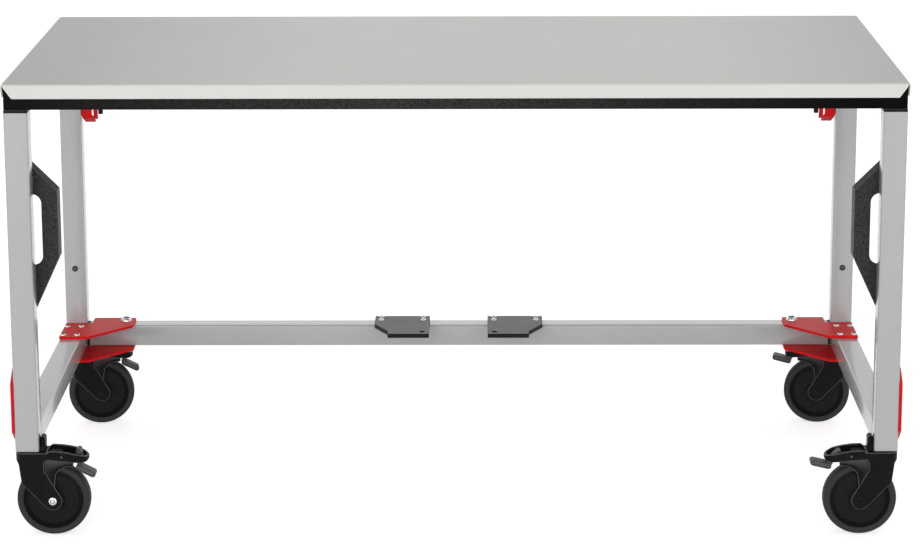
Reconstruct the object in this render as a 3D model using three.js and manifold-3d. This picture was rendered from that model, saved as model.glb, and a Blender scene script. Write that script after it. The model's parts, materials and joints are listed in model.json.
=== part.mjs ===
// Rolling assembly table: folded sheet-steel worktop on a tube frame, four braked swivel casters.
// Millimetres. X runs along the table, Y from front to back, Z up from the floor.

import * as THREE from 'three';
import { mergeVertices } from 'three/addons/utils/BufferGeometryUtils.js';
import Module from 'manifold-3d';

const wasm = await Module();
wasm.setup();

// Worktop, folded from one sheet
const TABLE_HEIGHT = 780;
const TOP_LENGTH = 1500;
const TOP_DEPTH = 750;
const SHEET = 3;
const LIP_HEIGHT = 24;
const BEND_RADIUS = 5;
const LIP_MITRE = 16;

// Square steel tube used for the frame, legs and rails
const TUBE = 40;
const TUBE_WALL = 2.5;
const TUBE_CORNER = 3;
const CROSS_RAIL_WIDTH = 20;
const CROSS_RAIL_SPACING = 500;

// Play between a piece and the piece that it fits into
const FIT = 0.3;

// Legs and the rails between them
const LEG_FRONT_INSET = 7;
const LEG_REAR_INSET = 23;
const LEG_CAP = 6;
const LEG_CAP_CHAMFER = 1.5;
const PLUG_DEPTH = 18;
const PLUG_CORNER = 1;
const RAIL_RISE = 8;
const CROSSBAR_PLUG = 4;

// Flat steel gussets at the bottom corners
const GUSSET = 5;
const GUSSET_ALONG_RAIL = 106;
const GUSSET_ALONG_BAR = 89;
const GUSSET_RAIL_OVERHANG = 13;
const GUSSET_BAR_OVERHANG = 17;
const GUSSET_NOTCH = 10;
const CLAMP_BOLT_REACH = 72.5;
const CLAMP_BOLT_RADIUS = 6;
const CLAMP_HEAD_RADIUS = 10.5;
const CLAMP_HEAD_HEIGHT = 6.5;
const CLAMP_HEAD_FLAT = 4.7;
const CLAMP_HEAD_EDGE = 1;

// Flat plates on the outer faces of the front legs
const SIDE_PLATE_RISE = 124;
const SIDE_PLATE_RUN = 146;
const SIDE_PLATE_LIFT = 6;
const SIDE_PLATE_WIDTH = 52;
const SIDE_PLATE_CUT_Y = 28;
const SIDE_PLATE_CUT_Z = 20;

// Pressed grips behind the front legs
const GRIP_BOTTOM = 380;
const GRIP_HEIGHT = 265;
const GRIP_WIDTH = 78;
const GRIP_DEPTH = 34;
const GRIP_SHEET = 3;
const GRIP_SETBACK = 2;
const GRIP_TOP_FLAT = 24;
const GRIP_TOP_SLOPE = 54;
const GRIP_BOTTOM_FLAT = 32;
const GRIP_BOTTOM_SLOPE = 98;
const GRIP_SLOT_WIDTH = 32;
const GRIP_SLOT_HEIGHT = 121;
const GRIP_SLOT_BOTTOM = 465;
const GRIP_RIM = 27.7;

// Bracket plates on the crossbar
const BRACKET = 8;
const BRACKET_GAP = 110;
const BRACKET_WIDTH = 104;
const BRACKET_DEPTH = 138;
const BRACKET_SIDE = 62;
const BRACKET_CUT_WIDTH = 26.5;
const BRACKET_NOSE = 20;
const BRACKET_HOLE_RADIUS = 5.5;
const BRACKET_HOLE_INSET_X = 13;
const BRACKET_HOLE_INSET_Y = 16;
const BRACKET_NOTCH_WIDTH = 10;
const BRACKET_NOTCH_DEPTH = 4;
const BRACKET_NOTCH_INSET = 12;

// Hooks on the inner faces of the rear legs, under the worktop
const HOOK = 5;
const HOOK_DROP = 36;
const HOOK_PLATE_WIDTH = 40.5;
const HOOK_PLATE_HEIGHT = 52;
const HOOK_TONGUE_WIDTH = 19;
const HOOK_TONGUE_LENGTH = 54;
const HOOK_TONGUE_SWEEP = 10;
const HOOK_LIP = 12;
const HOOK_FINGER_WIDTH = 6;
const HOOK_FINGER_LENGTH = 42;
const HOOK_FINGER_REACH = 23;
const HOOK_SETBACK = 8;
const STUD_RADIUS = 4.5;
const STUD_LENGTH = 39;

// Swivel casters: wheel and axle
const WHEEL_RADIUS = 62.5;
const WHEEL_HALF_WIDTH = 16;
const TYRE_THICKNESS = 11.5;
const TYRE_SHOULDER = 7.5;
const TYRE_INSET = 1.8;
const HUB_INSET = 2;
const HUB_DISH = 2;
const HUB_RIM = 12;
const HUB_RIM_SLOPE = 3;
const HUB_BOSS_RADIUS = 10.6;
const HUB_BOSS_FLARE = 2;
const AXLE_RADIUS = 5;
const AXLE_HEAD_RADIUS = 7;
const AXLE_HEAD_HEIGHT = 1.6;
const AXLE_HEAD_CHAMFER = 1;

// Caster fork: head under the leg, cheeks beside the wheel, and an open arm over it for the brake
const TRAIL = 41;
const FORK_GAP = 2.5;
const FORK_CHEEK = 5.5;
const FORK_HEAD_HEIGHT = 19.2;
const FORK_HEAD_BACK = 20;
const FORK_HEAD_CORNER = 12;
const HEAD_CHAMFER_RUN = 5;
const HEAD_CHAMFER_RISE = 7;
const FORK_TIP_RADIUS = 16;
const CHEEK_HEEL_INSET = 9;
const CHEEK_HEEL_DROP = 34;
const CHEEK_SETBACK = 12.7;
const CHEEK_BEND_DROP = 12;
const WHEEL_CLEARANCE = 3;
const ARM_SHORTFALL = 0.5;
const ARM_WALL = 4.5;
const ARM_FILLET = 7;
const ARM_TOE_RISE = 0.8;
const ARM_NOSE = 10;
const ARM_DROOP = 9.2;
const ARM_CREST_RUN = 5;
const WEB = 2.8;
const WEB_REACH = 37;
const WEB_DROP = 4.5;
const WEB_THROAT = 4.5;
const WEB_THROAT_DROP = 31;

// Caster stem: kingpin, collar and the tab that keeps the stem from turning in the leg
const KINGPIN_RADIUS = 8;
const COLLAR_RADIUS = 17;
const COLLAR = 1.5;
const SWIVEL_PLAY = 0.7;
const TAB = 9;
const TAB_BASE = 28;
const TAB_TOP = 12;
const TAB_RISE = 17;

// Brake lever: a rocker on a pin, with a toe to tread on and a pad above, shown trodden down
const PIVOT_SHORTFALL = 15.5;
const PIVOT_RISE = 5;
const PIVOT_RADIUS = 3;
const LEVER_WIDTH = 22;
const LEVER_TRAVEL = THREE.MathUtils.degToRad(40);
const LEVER_LINK = 7;
const LEVER_PAD = 9;
const LEVER_PAD_LEAN = 2.5;
const LEVER_DROP = 15;
const LEVER_HEEL = 3;
const TOE_THICKNESS = 10;
const TOE_LENGTH = 26.5;
const TOE_SLOPE = THREE.MathUtils.degToRad(-27);

// How each caster stands: the turn of its trail, the side of the leg, free of rails, that its stem's tab
// lies on, and whether its brake lever is trodden down
const REAR_TURN = THREE.MathUtils.degToRad(8);
const CASTERS = [
  { corner: 'front_left', turn: 0, tabTurn: 0, braked: true },
  { corner: 'front_right', turn: Math.PI, tabTurn: Math.PI, braked: false },
  { corner: 'rear_left', turn: REAR_TURN, tabTurn: Math.PI / 2, braked: true },
  { corner: 'rear_right', turn: Math.PI - REAR_TURN, tabTurn: Math.PI / 2, braked: false },
];

// Levels and faces that follow from the sizes above
const HEAD_BOTTOM = 2 * WHEEL_RADIUS + WHEEL_CLEARANCE;
const HEAD_TOP = HEAD_BOTTOM + FORK_HEAD_HEIGHT;
const LEG_BOTTOM = HEAD_TOP + FIT + COLLAR;
const FRAME_TOP = TABLE_HEIGHT - SHEET;
const FRAME_BOTTOM = FRAME_TOP - TUBE;
const LEG_TOP = FRAME_BOTTOM - LEG_CAP;
const RAIL_BOTTOM = LEG_BOTTOM + RAIL_RISE;
const RAIL_TOP = RAIL_BOTTOM + TUBE;
const FRAME_X = TOP_LENGTH / 2 - SHEET - FIT;
const FRAME_Y = TOP_DEPTH / 2 - SHEET - FIT;
const FRAME_END = TOP_LENGTH / 2 - BEND_RADIUS;
const LEG_X = FRAME_X - TUBE / 2;
const LEG_INNER_X = FRAME_X - TUBE;
const FRONT_LEG_Y = -TOP_DEPTH / 2 + LEG_FRONT_INSET + TUBE / 2;
const REAR_LEG_Y = TOP_DEPTH / 2 - LEG_REAR_INSET - TUBE / 2;
const PLUG_SIZE = TUBE - 2 * TUBE_WALL - 2 * FIT;
const CLAMP_BOLT_X = LEG_INNER_X - CLAMP_BOLT_REACH;
const CASTER_CEILING = RAIL_BOTTOM - GUSSET - SWIVEL_PLAY;
const CHEEK_INNER = WHEEL_HALF_WIDTH + FORK_GAP;
const CHEEK_OUTER = CHEEK_INNER + FORK_CHEEK;
const CHEEK_EDGE = TRAIL - CHEEK_SETBACK;
const ARM_END = TRAIL + WHEEL_RADIUS - ARM_SHORTFALL;
const TAB_OUTER = TUBE / 2 + FIT + TAB;
const STEM_SWEEP = Math.hypot(TAB_OUTER, TAB_BASE / 2) + SWIVEL_PLAY;
const PIVOT_X = TRAIL + WHEEL_RADIUS - PIVOT_SHORTFALL;
const PIVOT_Z = HEAD_BOTTOM + PIVOT_RISE;
const HUB_RADIUS = WHEEL_RADIUS - TYRE_THICKNESS;

// How far a cutter runs past the face that it cuts, and a joined piece into the piece that it joins
const PAST = 1;

// Facets of a rod, of a wheel, and of the bend at a tube's corner
const ROUND = 12;
const WHEEL_ROUND = 24;
const TUBE_ROUND = 2;
const SHOULDER_ROUND = 3;

function paint(color, roughness, metalness = 0) {
  return new THREE.MeshStandardMaterial({ color, roughness, metalness });
}

const MATERIALS = {
  top: paint(0xc4c2bd, 0.35, 0.1),
  silver: paint(0xb9bbbc, 0.25, 0.2),
  black: paint(0x161616, 0.45),
  red: paint(0xb01a20, 0.4),
  plastic: paint(0x1b1b1b, 0.6),
  wheel: paint(0x202020, 0.65),
  tyre: paint(0x474747, 0.8),
  steel: paint(0xc9cacc, 0.25, 1),
};

const table = new THREE.Group();

function addPiece(parent, name, geometry, material) {
  const mesh = new THREE.Mesh(geometry, material);
  mesh.name = name;
  parent.add(mesh);
}

// Solids for joining and cutting

function solidOf(geometry) {
  const bare = geometry.clone();
  bare.deleteAttribute('normal');
  bare.deleteAttribute('uv');
  const merged = mergeVertices(bare, 1e-4);
  const index = merged.index.array;
  const triangles = [];
  for (let i = 0; i < index.length; i += 3) {
    const [a, b, c] = [index[i], index[i + 1], index[i + 2]];
    if (a !== b && b !== c && c !== a) triangles.push(a, b, c);
  }
  return new wasm.Manifold(new wasm.Mesh({
    numProp: 3,
    vertProperties: Float32Array.from(merged.attributes.position.array),
    triVerts: Uint32Array.from(triangles),
  }));
}

function geometryOf(solid) {
  const mesh = solid.getMesh();
  const geometry = new THREE.BufferGeometry();
  geometry.setAttribute('position', new THREE.BufferAttribute(mesh.vertProperties, 3));
  geometry.setIndex(new THREE.BufferAttribute(mesh.triVerts, 1));
  geometry.computeVertexNormals();
  return geometry;
}

function joined(...geometries) {
  return geometryOf(geometries.map(solidOf).reduce((whole, part) => whole.add(part)));
}

function cut(geometry, ...cutters) {
  return geometryOf(cutters.map(solidOf).reduce((rest, tool) => rest.subtract(tool), solidOf(geometry)));
}

function common(first, second) {
  return geometryOf(solidOf(first).intersect(solidOf(second)));
}

// Outlines

function polygon(points) {
  return new THREE.Shape(points.map(([x, y]) => new THREE.Vector2(x, y)));
}

function roundedRect(width, height, radius, PathClass = THREE.Shape) {
  const [w, h] = [width / 2 - radius, height / 2 - radius];
  const path = new PathClass();
  path.moveTo(-w, -h - radius);
  path.absarc(w, -h, radius, -Math.PI / 2, 0);
  path.absarc(w, h, radius, 0, Math.PI / 2);
  path.absarc(-w, h, radius, Math.PI / 2, Math.PI);
  path.absarc(-w, -h, radius, Math.PI, 1.5 * Math.PI);
  path.closePath();
  return path;
}

function tubeSection(width, height) {
  const section = roundedRect(width, height, TUBE_CORNER);
  const bore = [width - 2 * TUBE_WALL, height - 2 * TUBE_WALL];
  section.holes.push(roundedRect(...bore, TUBE_CORNER - TUBE_WALL, THREE.Path));
  return section;
}

// Each vertex of a convex outline moved inwards, so that every side shifts by the same distance
function inset(points, distance) {
  return points.map((point, i) => {
    const before = new THREE.Vector2(...points.at(i - 1));
    const here = new THREE.Vector2(...point);
    const after = new THREE.Vector2(...points[(i + 1) % points.length]);
    const arriving = here.clone().sub(before).normalize();
    const leaving = after.sub(here).normalize();
    const bisector = leaving.clone().sub(arriving).normalize();
    const slant = Math.abs(arriving.cross(bisector));
    const moved = here.addScaledVector(bisector, distance / slant);
    return [moved.x, moved.y];
  });
}

// Extrusions: an outline in XY raised along Z, one in YZ drawn along X, one in XZ drawn along Y

function raise(shape, bottom, top, curveSegments = 6) {
  const options = { depth: top - bottom, bevelEnabled: false, curveSegments };
  return new THREE.ExtrudeGeometry(shape, options).translate(0, 0, bottom);
}

const YZ_TO_X = new THREE.Matrix4().makeBasis(
  new THREE.Vector3(0, 1, 0), new THREE.Vector3(0, 0, 1), new THREE.Vector3(1, 0, 0));

function drawAlongX(shape, start, end, curveSegments = 6) {
  return raise(shape, start, end, curveSegments).applyMatrix4(YZ_TO_X);
}

function drawAlongY(shape, start, end, curveSegments = 6) {
  return raise(shape, -end, -start, curveSegments).rotateX(Math.PI / 2);
}

function uprightRod(radius, bottom, top, sides = ROUND) {
  const rod = new THREE.CylinderGeometry(radius, radius, top - bottom, sides);
  return rod.rotateX(Math.PI / 2).translate(0, 0, (bottom + top) / 2);
}

function crosswiseRod(radius, halfLength, sides = ROUND) {
  return new THREE.CylinderGeometry(radius, radius, 2 * halfLength, sides);
}

function block([x0, y0, z0], [x1, y1, z1]) {
  const box = new THREE.BoxGeometry(x1 - x0, y1 - y0, z1 - z0);
  return box.translate((x0 + x1) / 2, (y0 + y1) / 2, (z0 + z1) / 2);
}

// Worktop: one sheet with a lip folded down along each edge, the lips' ends cut back at the corners

function foldedSection(span) {
  const [edge, bend, lip] = [span / 2, span / 2 - BEND_RADIUS, TABLE_HEIGHT - LIP_HEIGHT];
  const [bendZ, inner] = [TABLE_HEIGHT - BEND_RADIUS, BEND_RADIUS - SHEET];
  const section = new THREE.Shape();
  section.moveTo(edge - SHEET, lip);
  section.lineTo(edge, lip);
  section.absarc(bend, bendZ, BEND_RADIUS, 0, Math.PI / 2);
  section.absarc(-bend, bendZ, BEND_RADIUS, Math.PI / 2, Math.PI);
  section.lineTo(-edge, lip);
  section.lineTo(-edge + SHEET, lip);
  section.absarc(-bend, bendZ, inner, Math.PI, Math.PI / 2, true);
  section.absarc(bend, bendZ, inner, Math.PI / 2, 0, true);
  section.closePath();
  return section;
}

function lipEndCutter(end) {
  const below = TABLE_HEIGHT - LIP_HEIGHT - SHEET;
  const above = TABLE_HEIGHT - BEND_RADIUS;
  return polygon([[end + SHEET, above], [end, above], [end - LIP_MITRE, below], [end + SHEET, below]]);
}

function mirroredInX(geometry) {
  return geometry.clone().rotateZ(Math.PI);
}

function worktop() {
  const [bendX, bendY] = [TOP_LENGTH / 2 - BEND_RADIUS, TOP_DEPTH / 2 - BEND_RADIUS];
  const sheet = joined(
    drawAlongX(foldedSection(TOP_DEPTH), -bendX, bendX),
    drawAlongY(foldedSection(TOP_LENGTH), -bendY, bendY));
  const [edgeX, edgeY] = [TOP_LENGTH / 2, TOP_DEPTH / 2];
  const reach = SHEET + PAST;
  const cutters = [];
  for (const side of [-1, 1]) {
    const [y0, y1] = side < 0 ? [-edgeY - PAST, -edgeY + reach] : [edgeY - reach, edgeY + PAST];
    const [x0, x1] = side < 0 ? [-edgeX - PAST, -edgeX + reach] : [edgeX - reach, edgeX + PAST];
    const front = drawAlongY(lipEndCutter(bendX), y0, y1);
    const flank = drawAlongX(lipEndCutter(bendY), x0, x1);
    cutters.push(front, mirroredInX(front), flank, mirroredInX(flank));
  }
  return cut(sheet, ...cutters);
}

addPiece(table, 'worktop', worktop(), MATERIALS.top);

// Black tube frame under the sheet: long rails front and rear, short rails between them

function crosswiseTube(width, halfSpan) {
  const section = tubeSection(width, TUBE);
  return drawAlongY(section, -halfSpan, halfSpan, TUBE_ROUND).translate(0, 0, FRAME_TOP - TUBE / 2);
}

function addFrame() {
  const long = drawAlongX(tubeSection(TUBE, TUBE), -FRAME_END, FRAME_END, TUBE_ROUND);
  const longY = FRAME_Y - TUBE / 2;
  long.translate(0, 0, FRAME_TOP - TUBE / 2);
  addPiece(table, 'frame_front_rail', long.clone().translate(0, -longY, 0), MATERIALS.black);
  addPiece(table, 'frame_rear_rail', long.clone().translate(0, longY, 0), MATERIALS.black);
  for (const [side, sign] of [['left', -1], ['right', 1]]) {
    const end = crosswiseTube(TUBE, FRAME_Y - TUBE).translate(sign * LEG_X, 0, 0);
    const middle = crosswiseTube(CROSS_RAIL_WIDTH, FRAME_Y - TUBE);
    middle.translate(sign * CROSS_RAIL_SPACING / 2, 0, 0);
    addPiece(table, `frame_${side}_rail`, end, MATERIALS.black);
    addPiece(table, `frame_cross_rail_${side}`, middle, MATERIALS.black);
  }
}

addFrame();

// Legs: open tubes, each closed at the top by a cap with a plug that fits the bore

function legCap() {
  const brim = FRAME_BOTTOM - LEG_CAP_CHAMFER;
  const plate = raise(roundedRect(TUBE, TUBE, TUBE_CORNER), LEG_TOP, brim, TUBE_ROUND);
  const crown = TUBE - 2 * LEG_CAP_CHAMFER;
  const top = raise(roundedRect(crown, crown, TUBE_CORNER), LEG_TOP, FRAME_BOTTOM, TUBE_ROUND);
  const plug = raise(roundedRect(PLUG_SIZE, PLUG_SIZE, PLUG_CORNER), LEG_TOP - PLUG_DEPTH, LEG_TOP, 1);
  return joined(plate, top, plug);
}

function cornerPlace(corner) {
  const [end, side] = corner.split('_');
  return [side === 'left' ? -LEG_X : LEG_X, end === 'front' ? FRONT_LEG_Y : REAR_LEG_Y];
}

function addLegs() {
  const leg = raise(tubeSection(TUBE, TUBE), LEG_BOTTOM, LEG_TOP, TUBE_ROUND);
  const cap = legCap();
  for (const { corner } of CASTERS) {
    const [x, y] = cornerPlace(corner);
    addPiece(table, `${corner}_leg`, leg.clone().translate(x, y, 0), MATERIALS.silver);
    addPiece(table, `${corner}_leg_cap`, cap.clone().translate(x, y, 0), MATERIALS.black);
  }
}

addLegs();

// Lower rails: one between the legs of each end, and a crossbar between the rear legs

function addLowerRails() {
  const level = (RAIL_BOTTOM + RAIL_TOP) / 2;
  const tube = tubeSection(TUBE, TUBE);
  const sideRail = drawAlongY(tube, FRONT_LEG_Y + TUBE / 2, REAR_LEG_Y - TUBE / 2, TUBE_ROUND);
  const barEnd = LEG_INNER_X - CROSSBAR_PLUG;
  const bar = drawAlongX(tube, -barEnd, barEnd, TUBE_ROUND).translate(0, REAR_LEG_Y, level);
  const bolt = uprightRod(CLAMP_BOLT_RADIUS + FIT, RAIL_BOTTOM - PAST, RAIL_TOP + PAST);
  const boltHoles = [-1, 1].map((sign) => bolt.clone().translate(sign * CLAMP_BOLT_X, REAR_LEG_Y, 0));
  addPiece(table, 'crossbar', cut(bar, ...boltHoles), MATERIALS.silver);

  const flange = drawAlongX(roundedRect(TUBE, TUBE, TUBE_CORNER), barEnd, LEG_INNER_X, TUBE_ROUND);
  const plug = drawAlongX(roundedRect(PLUG_SIZE, PLUG_SIZE, PLUG_CORNER), barEnd - PLUG_DEPTH, barEnd, 1);
  const endPlug = joined(flange, plug);
  for (const [side, sign] of [['left', -1], ['right', 1]]) {
    const placed = sign > 0 ? endPlug.clone() : mirroredInX(endPlug);
    addPiece(table, `crossbar_plug_${side}`, placed.translate(0, REAR_LEG_Y, level), MATERIALS.black);
    const rail = sideRail.clone().translate(sign * LEG_X, 0, level);
    addPiece(table, `side_rail_${side}`, rail, MATERIALS.silver);
  }
}

addLowerRails();

// Gussets: a flat plate above and one below each rear corner, clamped by one bolt through the crossbar

function gussetOutline(sign) {
  const rearFace = REAR_LEG_Y + TUBE / 2;
  const legFace = REAR_LEG_Y - TUBE / 2;
  const outline = [
    [FRAME_X, legFace - FIT],
    [FRAME_X, legFace - GUSSET_ALONG_RAIL],
    [LEG_INNER_X - GUSSET_RAIL_OVERHANG, legFace - GUSSET_ALONG_RAIL],
    [LEG_INNER_X - GUSSET_ALONG_BAR, legFace - GUSSET_BAR_OVERHANG],
    [LEG_INNER_X - GUSSET_ALONG_BAR, rearFace],
    [LEG_INNER_X - GUSSET_NOTCH, rearFace],
    [LEG_INNER_X - GUSSET_NOTCH, legFace - FIT],
  ];
  return polygon(outline.map(([x, y]) => [sign * x, y]));
}

// Button-head bolt, turned about its own axis from the foot of its shank to the crown of its head
function clampBolt() {
  const seat = RAIL_TOP + GUSSET;
  const crown = seat + CLAMP_HEAD_HEIGHT;
  const profile = new THREE.Path();
  profile.moveTo(0, RAIL_BOTTOM - GUSSET + FIT);
  profile.lineTo(CLAMP_BOLT_RADIUS, RAIL_BOTTOM - GUSSET + FIT);
  profile.lineTo(CLAMP_BOLT_RADIUS, seat);
  profile.lineTo(CLAMP_HEAD_RADIUS, seat);
  profile.quadraticCurveTo(CLAMP_HEAD_RADIUS, crown - CLAMP_HEAD_EDGE, CLAMP_HEAD_FLAT, crown);
  profile.lineTo(0, crown);
  return new THREE.LatheGeometry(profile.getPoints(4), ROUND).rotateX(Math.PI / 2);
}

function addGussets() {
  for (const [side, sign] of [['left', -1], ['right', 1]]) {
    const outline = gussetOutline(sign);
    const hole = uprightRod(CLAMP_BOLT_RADIUS + FIT, RAIL_BOTTOM - 2 * GUSSET, RAIL_TOP + 2 * GUSSET);
    hole.translate(sign * CLAMP_BOLT_X, REAR_LEG_Y, 0);
    const upper = cut(raise(outline, RAIL_TOP, RAIL_TOP + GUSSET), hole);
    const lower = cut(raise(outline, RAIL_BOTTOM - GUSSET, RAIL_BOTTOM), hole);
    const bolt = clampBolt().translate(sign * CLAMP_BOLT_X, REAR_LEG_Y, 0);
    addPiece(table, `upper_gusset_${side}`, upper, MATERIALS.red);
    addPiece(table, `lower_gusset_${side}`, lower, MATERIALS.red);
    addPiece(table, `clamp_bolt_${side}`, bolt, MATERIALS.steel);
  }
}

addGussets();

// Side plates: vertical gussets on the outer faces of the front legs, over the joint with the side rail

function addSidePlates() {
  const front = FRONT_LEG_Y - TUBE / 2;
  const bottom = RAIL_BOTTOM + SIDE_PLATE_LIFT;
  const top = bottom + SIDE_PLATE_RISE;
  const outline = polygon([
    [front, bottom + SIDE_PLATE_CUT_Z],
    [front + SIDE_PLATE_CUT_Y, bottom],
    [front + SIDE_PLATE_RUN, bottom],
    [front + SIDE_PLATE_RUN, bottom + SIDE_PLATE_WIDTH],
    [front + SIDE_PLATE_WIDTH, top],
    [front + SIDE_PLATE_CUT_Y, top],
    [front, top - SIDE_PLATE_CUT_Z],
  ]);
  addPiece(table, 'side_plate_left', drawAlongX(outline, -FRAME_X - GUSSET, -FRAME_X), MATERIALS.red);
  addPiece(table, 'side_plate_right', drawAlongX(outline, FRAME_X, FRAME_X + GUSSET), MATERIALS.red);
}

addSidePlates();

// Grips: pressed trays on the rear faces of the front legs, slotted for the hand

function gripOutline(sign) {
  const start = FRAME_X - GRIP_SETBACK;
  const top = GRIP_BOTTOM + GRIP_HEIGHT;
  const outline = [
    [0, GRIP_BOTTOM],
    [GRIP_BOTTOM_FLAT, GRIP_BOTTOM],
    [GRIP_WIDTH, GRIP_BOTTOM + GRIP_BOTTOM_SLOPE],
    [GRIP_WIDTH, top - GRIP_TOP_SLOPE],
    [GRIP_TOP_FLAT, top],
    [0, top],
  ].map(([inward, z]) => [sign * (start - inward), z]);
  return sign < 0 ? outline : outline.reverse();
}

function grip(sign) {
  const front = FRONT_LEG_Y + TUBE / 2;
  const outline = gripOutline(sign);
  const slotX = sign * (FRAME_X - GRIP_SETBACK - GRIP_WIDTH + GRIP_RIM + GRIP_SLOT_WIDTH / 2);
  const slotZ = GRIP_SLOT_BOTTOM + GRIP_SLOT_HEIGHT / 2;
  const slotOutline = roundedRect(GRIP_SLOT_WIDTH, GRIP_SLOT_HEIGHT, GRIP_SLOT_WIDTH / 2 - FIT);
  const slot = drawAlongY(slotOutline, front - PAST, front + GRIP_DEPTH, 5).translate(slotX, 0, slotZ);
  const tray = drawAlongY(polygon(outline), front, front + GRIP_DEPTH);
  const inside = polygon(inset(outline, GRIP_SHEET));
  const hollow = drawAlongY(inside, front + GRIP_SHEET, front + GRIP_DEPTH + PAST);
  return cut(tray, hollow, slot);
}

addPiece(table, 'grip_left', grip(-1), MATERIALS.black);
addPiece(table, 'grip_right', grip(1), MATERIALS.black);

// Bracket plates: thick plates lying on the crossbar, reaching forward, one outer corner cut away

function bracket(sign) {
  const rear = REAR_LEG_Y + TUBE / 2;
  const inner = BRACKET_GAP / 2;
  const outer = inner + BRACKET_WIDTH;
  const front = rear - BRACKET_DEPTH;
  const outline = [
    [inner, rear],
    [inner, front],
    [outer - BRACKET_CUT_WIDTH, front],
    [outer - BRACKET_CUT_WIDTH, front + BRACKET_NOSE],
    [outer, rear - BRACKET_SIDE],
    [outer, rear],
  ];
  const shape = polygon(outline.map(([x, y]) => [sign * x, y]));
  const hole = uprightRod(BRACKET_HOLE_RADIUS, RAIL_TOP - PAST, RAIL_TOP + BRACKET + PAST);
  hole.translate(sign * (inner + BRACKET_HOLE_INSET_X), front + BRACKET_HOLE_INSET_Y, 0);
  const notches = [inner + BRACKET_NOTCH_INSET, outer - BRACKET_NOTCH_INSET].map((x) => {
    const width = BRACKET_NOTCH_WIDTH / 2;
    const low = [sign * x - width, rear - BRACKET_NOTCH_DEPTH, RAIL_TOP - PAST];
    return block(low, [sign * x + width, rear + PAST, RAIL_TOP + BRACKET + PAST]);
  });
  return cut(raise(shape, RAIL_TOP, RAIL_TOP + BRACKET), hole, ...notches);
}

addPiece(table, 'bracket_plate_left', bracket(-1), MATERIALS.black);
addPiece(table, 'bracket_plate_right', bracket(1), MATERIALS.black);

// Hooks: welded to the rear legs' inner faces, a swept tongue with a turned lip and a finger beside it

function hook(sign) {
  const top = LEG_TOP - HOOK_DROP;
  const root = top - HOOK_PLATE_HEIGHT;
  const tip = root - HOOK_TONGUE_LENGTH;
  const fingerEnd = HOOK_FINGER_REACH + HOOK_FINGER_WIDTH;
  const tongueEnd = HOOK_TONGUE_SWEEP + HOOK_TONGUE_WIDTH;
  const bend = tip + HOOK_TONGUE_LENGTH / 2;
  const x = (inward) => sign * (LEG_INNER_X - inward);
  const front = REAR_LEG_Y - TUBE / 2 + HOOK_SETBACK;
  const outline = new THREE.Shape();
  outline.moveTo(x(0), top);
  outline.lineTo(x(0), bend);
  outline.quadraticCurveTo(x(0), bend - HOOK_TONGUE_SWEEP, x(HOOK_TONGUE_SWEEP), tip);
  outline.lineTo(x(tongueEnd), tip);
  outline.quadraticCurveTo(x(HOOK_TONGUE_WIDTH), bend - HOOK_TONGUE_SWEEP, x(HOOK_TONGUE_WIDTH), bend);
  outline.lineTo(x(HOOK_TONGUE_WIDTH), root);
  outline.lineTo(x(HOOK_FINGER_REACH), root);
  outline.lineTo(x(HOOK_FINGER_REACH), root - HOOK_FINGER_LENGTH);
  outline.lineTo(x(fingerEnd), root - HOOK_FINGER_LENGTH);
  outline.lineTo(x(fingerEnd), root);
  outline.lineTo(x(HOOK_PLATE_WIDTH), root);
  outline.lineTo(x(HOOK_PLATE_WIDTH), top);
  outline.closePath();
  const plate = drawAlongY(outline, front, front + HOOK, 5);
  const ends = [x(HOOK_TONGUE_SWEEP), x(tongueEnd)].sort((a, b) => a - b);
  const lip = block([ends[0], front + HOOK - PAST, tip], [ends[1], front + HOOK + HOOK_LIP, tip + HOOK]);
  return joined(plate, lip);
}

function addHooks() {
  const studTop = LEG_TOP - HOOK_DROP - HOOK_PLATE_HEIGHT;
  const studX = LEG_INNER_X - (HOOK_PLATE_WIDTH - STUD_RADIUS);
  const studY = REAR_LEG_Y - TUBE / 2 + HOOK_SETBACK + HOOK / 2;
  const stud = uprightRod(STUD_RADIUS, studTop - STUD_LENGTH, studTop, 12);
  for (const [side, sign] of [['left', -1], ['right', 1]]) {
    addPiece(table, `leg_hook_${side}`, hook(sign), MATERIALS.red);
    addPiece(table, `hook_stud_${side}`, stud.clone().translate(sign * studX, studY, 0), MATERIALS.black);
  }
}

addHooks();

// Caster stem: plug in the leg's bore, bearing collar, the kingpin that the fork turns on, and a tab that
// reaches from under the leg's wall and stands beside it

function casterStem() {
  const foot = LEG_BOTTOM - COLLAR;
  const plug = raise(roundedRect(PLUG_SIZE, PLUG_SIZE, PLUG_CORNER), foot, LEG_BOTTOM + 2 * PLUG_DEPTH, 1);
  const collar = uprightRod(COLLAR_RADIUS, foot, LEG_BOTTOM);
  const pin = uprightRod(KINGPIN_RADIUS, HEAD_BOTTOM + ARM_WALL, LEG_BOTTOM);
  const flange = block([0, -TAB_BASE / 2, foot], [TAB_OUTER, TAB_BASE / 2, LEG_BOTTOM]);
  const tab = polygon([
    [-TAB_BASE / 2, foot],
    [TAB_BASE / 2, foot],
    [TAB_TOP / 2, LEG_BOTTOM + TAB_RISE],
    [-TAB_TOP / 2, LEG_BOTTOM + TAB_RISE],
  ]);
  return joined(plug, collar, pin, flange, drawAlongX(tab, TAB_OUTER - TAB, TAB_OUTER));
}

// Caster fork: moulded head with an open arm over the wheel, and a cheek on each side down to the axle,
// stiffened by a thinner web under the arm. Its own X points along the trail, from swivel axis to wheel.

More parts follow.
